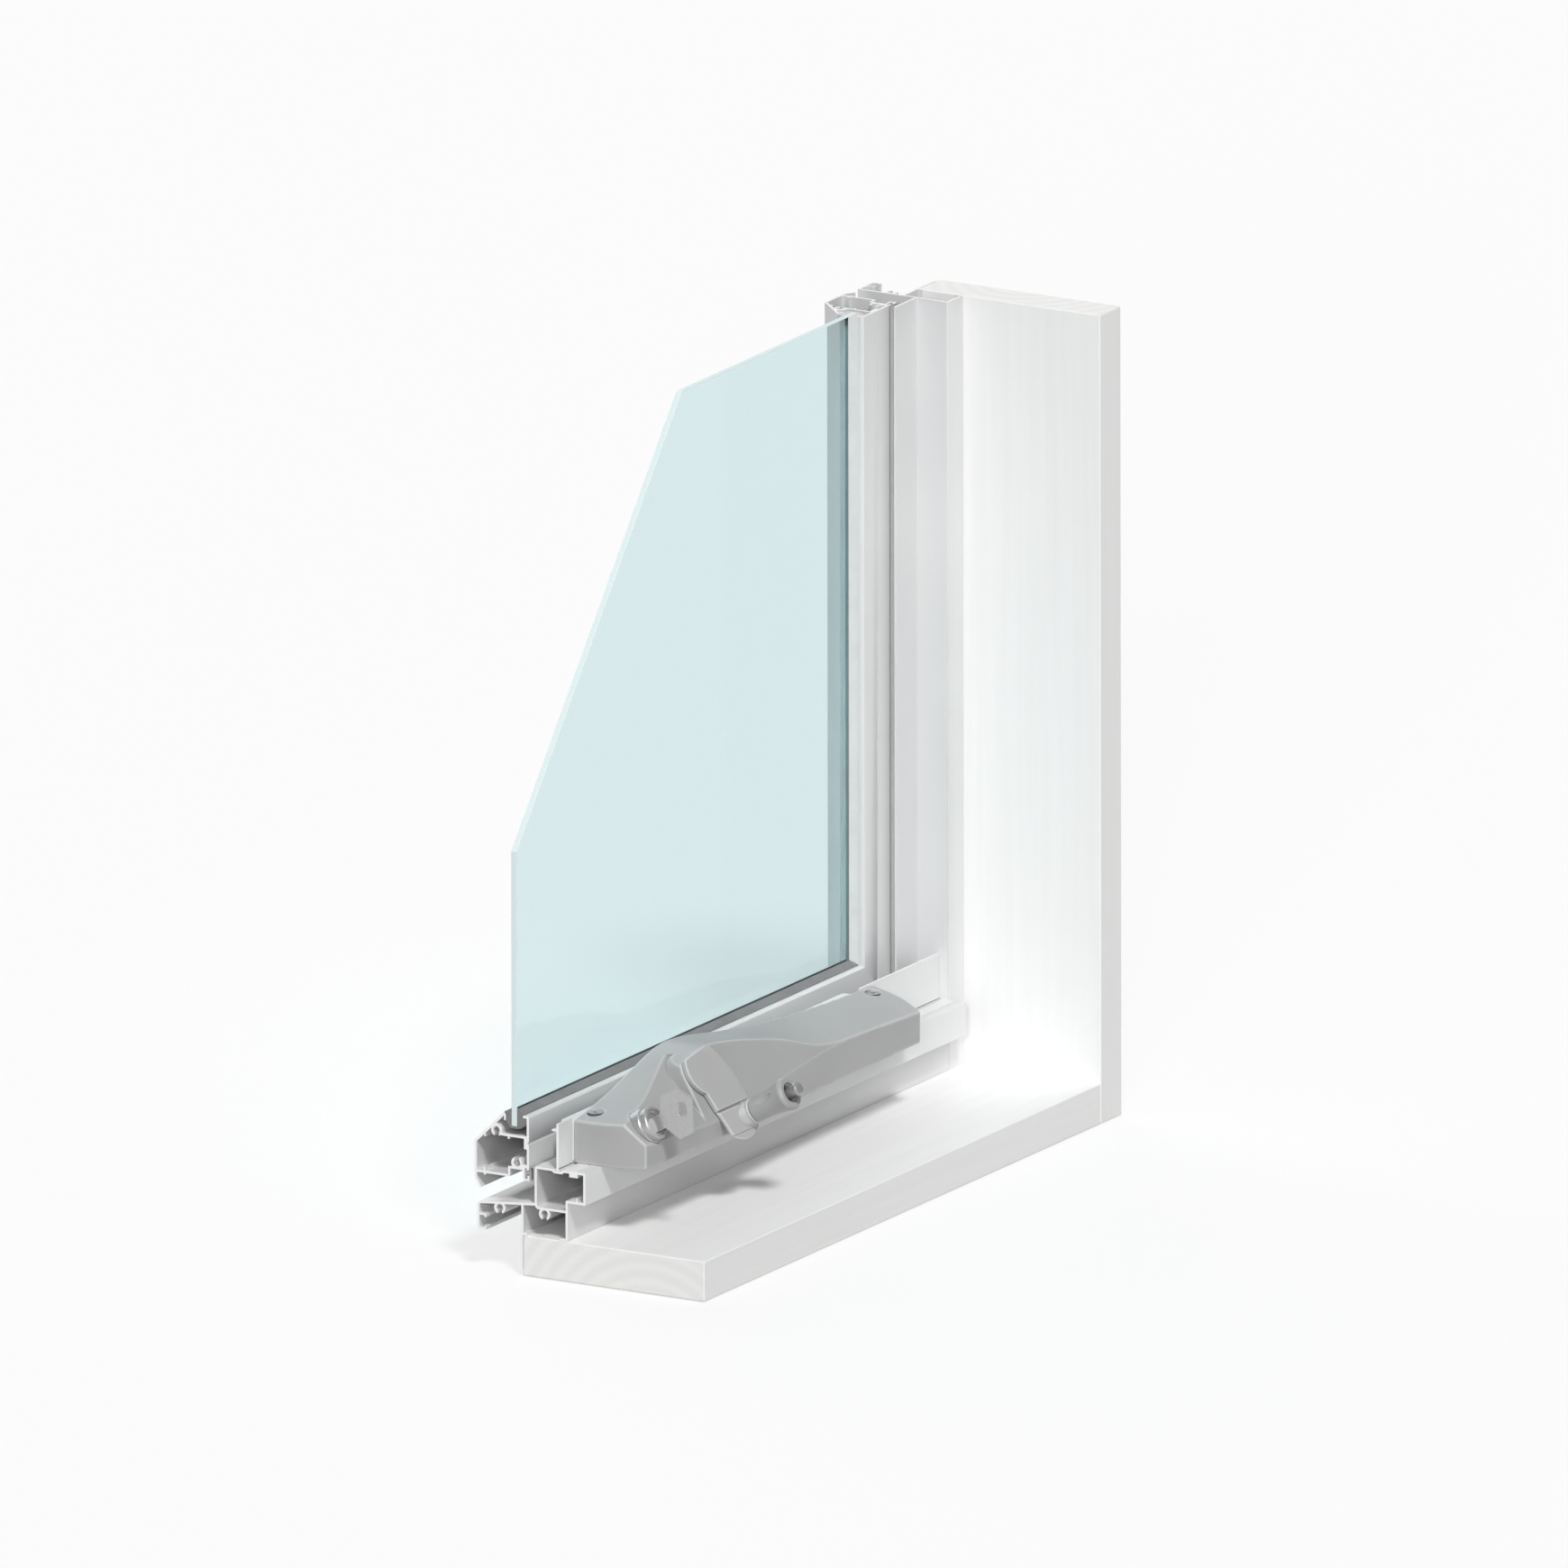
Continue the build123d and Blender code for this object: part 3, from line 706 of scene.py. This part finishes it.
cross_solid = add_node(
    screw_tree, "GeometryNodeMergeByDistance", {"Geometry": cross_shell, "Distance": 1e-6}
)
floor_height = worked_out(screw_tree, "SUBTRACT", given["Head depth"], given["Recess depth"])
cross_height = worked_out(screw_tree, "ADD", floor_height, recess_clearance)
cut = add_node(
    screw_tree,
    "GeometryNodeMeshBoolean",
    {
        "Mesh 1": head.outputs["Mesh"],
        "Mesh 2": lifted(screw_tree, cross_solid.outputs["Geometry"], cross_height),
    },
    operation="DIFFERENCE",
    solver="EXACT",
)
shank = add_node(
    screw_tree,
    "GeometryNodeMeshCylinder",
    {"Vertices": 32, "Radius": given["Shank radius"], "Depth": given["Shank length"]},
)
half_down = worked_out(screw_tree, "MULTIPLY", given["Shank length"], -0.5)
shank_below = lifted(screw_tree, shank.outputs["Mesh"], half_down)
close_tree(screw_tree, given, joined(screw_tree, cut.outputs["Mesh"], shank_below))

screw_places = []
for node, turned in (("screw_left", 0.5), ("screw_right", 1.1)):
    low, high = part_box(node)
    under_head = high[2] - screw_sizes["Head depth"]
    centre = Vector(((low[0] + high[0]) / 2, (low[1] + high[1]) / 2, under_head))
    screw_places.append((centre, Matrix.Rotation(turned, 3, "Z"), 1.0))
screw_sizes["Finish"] = pin_steel
screws = made_by_rule("cover_screws", screw_tree, screw_places, screw_sizes, "window")
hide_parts("screw_left", "screw_right")

# Studio: a plain pale floor that keeps the shadow, a broad key light from the room side,
# weaker ones on the sawn ends and from outside, and an even surround. The camera has no
# perspective.
floor_reach, floor_drop = 8.0, -0.0004
floor_mesh = bpy.data.meshes.new("floor")
floor_corners = [(x * floor_reach, y * floor_reach, 0) for x, y in ((-1, -1), (1, -1), (1, 1), (-1, 1))]
floor_mesh.from_pydata(floor_corners, [], [(0, 1, 2, 3)])
floor = bpy.data.objects.new("floor", floor_mesh)
floor.location.z = floor_drop
bpy.context.scene.collection.objects.link(floor)


def seen_rays(tree):
    """One on rays that show the background, straight, mirrored or through glass; nought on others."""
    ray = add_node(tree, "ShaderNodeLightPath", {}).outputs
    straight_or_mirrored = worked_out(tree, "MAXIMUM", ray["Is Camera Ray"], ray["Is Glossy Ray"])
    return worked_out(tree, "MAXIMUM", straight_or_mirrored, ray["Is Transmission Ray"])


floor_finish, tree, shader = new_finish("pale floor")
feed(shader, {"Base Color": (0.9, 0.9, 0.9, 1), "Roughness": 0.9, "Specular IOR Level": 0.1})
white_share = 0.72
white = add_node(tree, "ShaderNodeEmission", {"Strength": 1.0})
shown = mixed_shaders(tree, white_share, shader.outputs["BSDF"], white.outputs["Emission"])
bounce = add_node(tree, "ShaderNodeBsdfDiffuse", {"Color": (0.5, 0.5, 0.5, 1)})
floor_shader = mixed_shaders(tree, seen_rays(tree), bounce.outputs["BSDF"], shown)
feed(tree.nodes["Material Output"], {"Surface": floor_shader})
floor_mesh.materials.append(floor_finish)
floor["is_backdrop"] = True

world = bpy.data.worlds.new("even surround")
world.use_nodes = True
feed(world.node_tree.nodes["Background"], {"Color": (1, 1, 1, 1), "Strength": 0.24})
bpy.context.scene.world = world
bpy.context.scene.view_settings.view_transform = "Standard"


def broad_light(name, towards, spread, level):
    """Even light from one side, soft as from a large lamp; towards points at the light."""
    data = bpy.data.lights.new(name, "SUN")
    data.angle = math.radians(spread)
    data.energy = level * math.pi
    lamp = bpy.data.objects.new(name, data)
    lamp.location = Vector(towards) * 3.0
    lamp.rotation_mode = "QUATERNION"
    lamp.rotation_quaternion = (-Vector(towards)).to_track_quat("-Z", "Y")
    bpy.context.scene.collection.objects.link(lamp)


broad_light("key light", (-0.42, -0.46, 0.78), 10.0, 0.66)
broad_light("fill light", (-0.86, -0.40, 0.31), 14.0, 0.30)
broad_light("back light", (0.50, 0.76, 0.42), 50.0, 0.36)

azimuth, elevation, roll = math.radians(-60.0558), math.radians(14.95055), math.radians(-0.07464)
view_width, view_right, view_up, camera_distance = 0.74929, -0.018093, 0.196491, 3.0
right = Vector((math.cos(azimuth), math.sin(azimuth), 0))
level_back = Vector((math.sin(azimuth), -math.cos(azimuth), 0))
up = Vector((0, 0, math.cos(elevation))) - level_back * math.sin(elevation)
turned_right = right * math.cos(roll) + up * math.sin(roll)
turned_up = up * math.cos(roll) - right * math.sin(roll)
back = turned_right.cross(turned_up)
camera_data = bpy.data.cameras.new("camera")
camera_data.type = "ORTHO"
camera_data.ortho_scale = view_width
camera_data.clip_end = 50
camera = bpy.data.objects.new("camera", camera_data)
camera_place = right * view_right + up * view_up + back * camera_distance
camera_turn = Matrix((turned_right, turned_up, back)).transposed().to_4x4()
camera.matrix_world = Matrix.Translation(camera_place) @ camera_turn
bpy.context.scene.collection.objects.link(camera)
bpy.context.scene.camera = camera

low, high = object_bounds()
